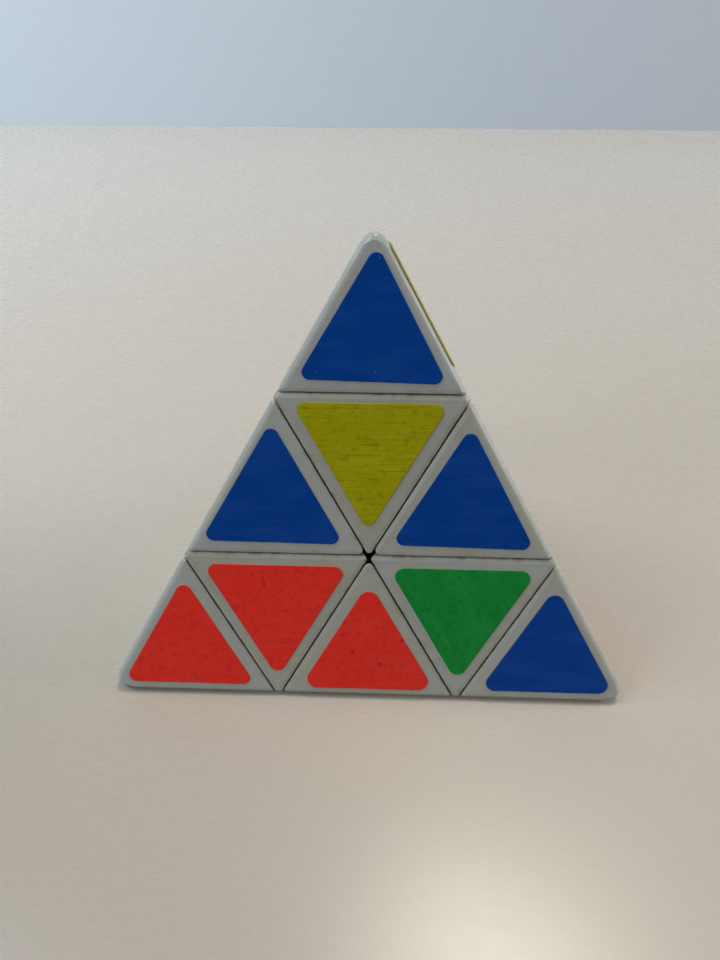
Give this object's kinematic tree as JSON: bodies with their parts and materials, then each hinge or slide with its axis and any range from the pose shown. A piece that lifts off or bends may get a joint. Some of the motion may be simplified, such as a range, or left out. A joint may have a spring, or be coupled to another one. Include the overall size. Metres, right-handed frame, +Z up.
{
  "type": "pyramid twisty puzzle",
  "caption": "Tetrahedral twisty puzzle with turning layers and tips, white plastic pieces and coloured triangular stickers.",
  "frame": {"origin": "centre of the core, where the four turning axes cross", "axes": "+Z up through the top corner, -Y towards the front face, +X along the front bottom edge from the left corner to the right corner"},
  "size_m": [0.093, 0.0812, 0.0767],
  "materials": {
    "shell_plastic": "moulded white plastic, semi-gloss, worn",
    "core_plastic": "moulded dark plastic",
    "screw_steel": "plated steel",
    "spring_steel": "spring steel wire",
    "blue_sticker": "printed vinyl film, lightly scratched",
    "red_sticker": "printed vinyl film, lightly smudged",
    "green_sticker": "printed vinyl film, rubbed",
    "yellow_sticker": "printed vinyl film, rubbed and grimy"
  },
  "bodies": {
    "core": {"core_spider": "core_plastic", "screw_top": "screw_steel", "screw_left": "screw_steel", "screw_right": "screw_steel", "screw_back": "screw_steel", "spring_top": "spring_steel", "spring_left": "spring_steel", "spring_right": "spring_steel", "spring_back": "spring_steel"},
    "axial_top_body": {"axial_top": "shell_plastic", "sticker_front_axial_top": "yellow_sticker", "sticker_right_side_axial_top": "green_sticker", "sticker_left_side_axial_top": "blue_sticker"},
    "axial_left_body": {"axial_left": "shell_plastic", "sticker_front_axial_left": "red_sticker", "sticker_left_side_axial_left": "green_sticker", "sticker_base_axial_left": "yellow_sticker"},
    "axial_right_body": {"axial_right": "shell_plastic", "sticker_front_axial_right": "green_sticker", "sticker_right_side_axial_right": "blue_sticker", "sticker_base_axial_right": "red_sticker"},
    "axial_back_body": {"axial_back": "shell_plastic", "sticker_right_side_axial_back": "blue_sticker", "sticker_left_side_axial_back": "yellow_sticker", "sticker_base_axial_back": "red_sticker"},
    "tip_top_body": {"tip_top": "shell_plastic", "sticker_front_tip_top": "blue_sticker", "sticker_right_side_tip_top": "yellow_sticker", "sticker_left_side_tip_top": "green_sticker"},
    "tip_left_body": {"tip_left": "shell_plastic", "sticker_front_tip_left": "red_sticker", "sticker_left_side_tip_left": "green_sticker", "sticker_base_tip_left": "yellow_sticker"},
    "tip_right_body": {"tip_right": "shell_plastic", "sticker_front_tip_right": "blue_sticker", "sticker_right_side_tip_right": "red_sticker", "sticker_base_tip_right": "green_sticker"},
    "tip_back_body": {"tip_back": "shell_plastic", "sticker_right_side_tip_back": "blue_sticker", "sticker_left_side_tip_back": "yellow_sticker", "sticker_base_tip_back": "red_sticker"},
    "edge_top_left_body": {"edge_top_left": "shell_plastic", "sticker_front_edge_top_left": "blue_sticker", "sticker_left_side_edge_top_left": "red_sticker"},
    "edge_top_right_body": {"edge_top_right": "shell_plastic", "sticker_front_edge_top_right": "blue_sticker", "sticker_right_side_edge_top_right": "yellow_sticker"},
    "edge_top_back_body": {"edge_top_back": "shell_plastic", "sticker_right_side_edge_top_back": "green_sticker", "sticker_left_side_edge_top_back": "blue_sticker"},
    "edge_left_right_body": {"edge_left_right": "shell_plastic", "sticker_front_edge_left_right": "red_sticker", "sticker_base_edge_left_right": "yellow_sticker"},
    "edge_left_back_body": {"edge_left_back": "shell_plastic", "sticker_left_side_edge_left_back": "green_sticker", "sticker_base_edge_left_back": "yellow_sticker"},
    "edge_right_back_body": {"edge_right_back": "shell_plastic", "sticker_right_side_edge_right_back": "red_sticker", "sticker_base_edge_right_back": "green_sticker"}
  },
  "joints": [
    {"name": "layer_top_turn", "type": "hinge", "parent": "core", "child": "axial_top_body", "pos_m": [0, 0, 0], "axis": [0, 0, 1], "continuous": true},
    {"name": "layer_left_turn", "type": "hinge", "parent": "core", "child": "axial_left_body", "pos_m": [0, 0, 0], "axis": [-0.8165, -0.4714, -0.3333], "range_deg": [-360, 360]},
    {"name": "layer_right_turn", "type": "hinge", "parent": "core", "child": "axial_right_body", "pos_m": [0, 0, 0], "axis": [0.8165, -0.4714, -0.3333], "range_deg": [-360, 360]},
    {"name": "layer_back_turn", "type": "hinge", "parent": "core", "child": "axial_back_body", "pos_m": [0, 0, 0], "axis": [0, 0.9428, -0.3333], "range_deg": [-360, 360]},
    {"name": "tip_top_turn", "type": "hinge", "parent": "axial_top_body", "child": "tip_top_body", "pos_m": [0, 0, 0], "axis": [0, 0, 1], "continuous": true},
    {"name": "tip_left_turn", "type": "hinge", "parent": "axial_left_body", "child": "tip_left_body", "pos_m": [0, 0, 0], "axis": [-0.8165, -0.4714, -0.3333], "continuous": true},
    {"name": "tip_right_turn", "type": "hinge", "parent": "axial_right_body", "child": "tip_right_body", "pos_m": [0, 0, 0], "axis": [0.8165, -0.4714, -0.3333], "continuous": true},
    {"name": "tip_back_turn", "type": "hinge", "parent": "axial_back_body", "child": "tip_back_body", "pos_m": [0, 0, 0], "axis": [0, 0.9428, -0.3333], "continuous": true},
    {"name": "edge_top_left_about_left", "type": "hinge", "parent": "axial_top_body", "child": "edge_top_left_body", "pos_m": [0, 0, 0], "axis": [-0.8165, -0.4714, -0.3333], "range_deg": [-360, 360]},
    {"name": "edge_top_right_about_right", "type": "hinge", "parent": "axial_top_body", "child": "edge_top_right_body", "pos_m": [0, 0, 0], "axis": [0.8165, -0.4714, -0.3333], "range_deg": [-360, 360]},
    {"name": "edge_top_back_about_back", "type": "hinge", "parent": "axial_top_body", "child": "edge_top_back_body", "pos_m": [0, 0, 0], "axis": [0, 0.9428, -0.3333], "range_deg": [-360, 360]},
    {"name": "edge_left_right_about_right", "type": "hinge", "parent": "axial_left_body", "child": "edge_left_right_body", "pos_m": [0, 0, 0], "axis": [0.8165, -0.4714, -0.3333], "range_deg": [-360, 360]},
    {"name": "edge_right_back_about_back", "type": "hinge", "parent": "axial_right_body", "child": "edge_right_back_body", "pos_m": [0, 0, 0], "axis": [0, 0.9428, -0.3333], "range_deg": [-360, 360]},
    {"name": "edge_left_back_about_left", "type": "hinge", "parent": "axial_back_body", "child": "edge_left_back_body", "pos_m": [0, 0, 0], "axis": [-0.8165, -0.4714, -0.3333], "range_deg": [-360, 360]}
  ],
  "couplings": [
    {"joint": "edge_top_left_about_left", "follows": "layer_left_turn", "ratio": 1},
    {"joint": "edge_top_right_about_right", "follows": "layer_right_turn", "ratio": 1},
    {"joint": "edge_top_back_about_back", "follows": "layer_back_turn", "ratio": 1},
    {"joint": "edge_left_right_about_right", "follows": "layer_right_turn", "ratio": 1},
    {"joint": "edge_right_back_about_back", "follows": "layer_back_turn", "ratio": 1},
    {"joint": "edge_left_back_about_left", "follows": "layer_left_turn", "ratio": 1}
  ]
}
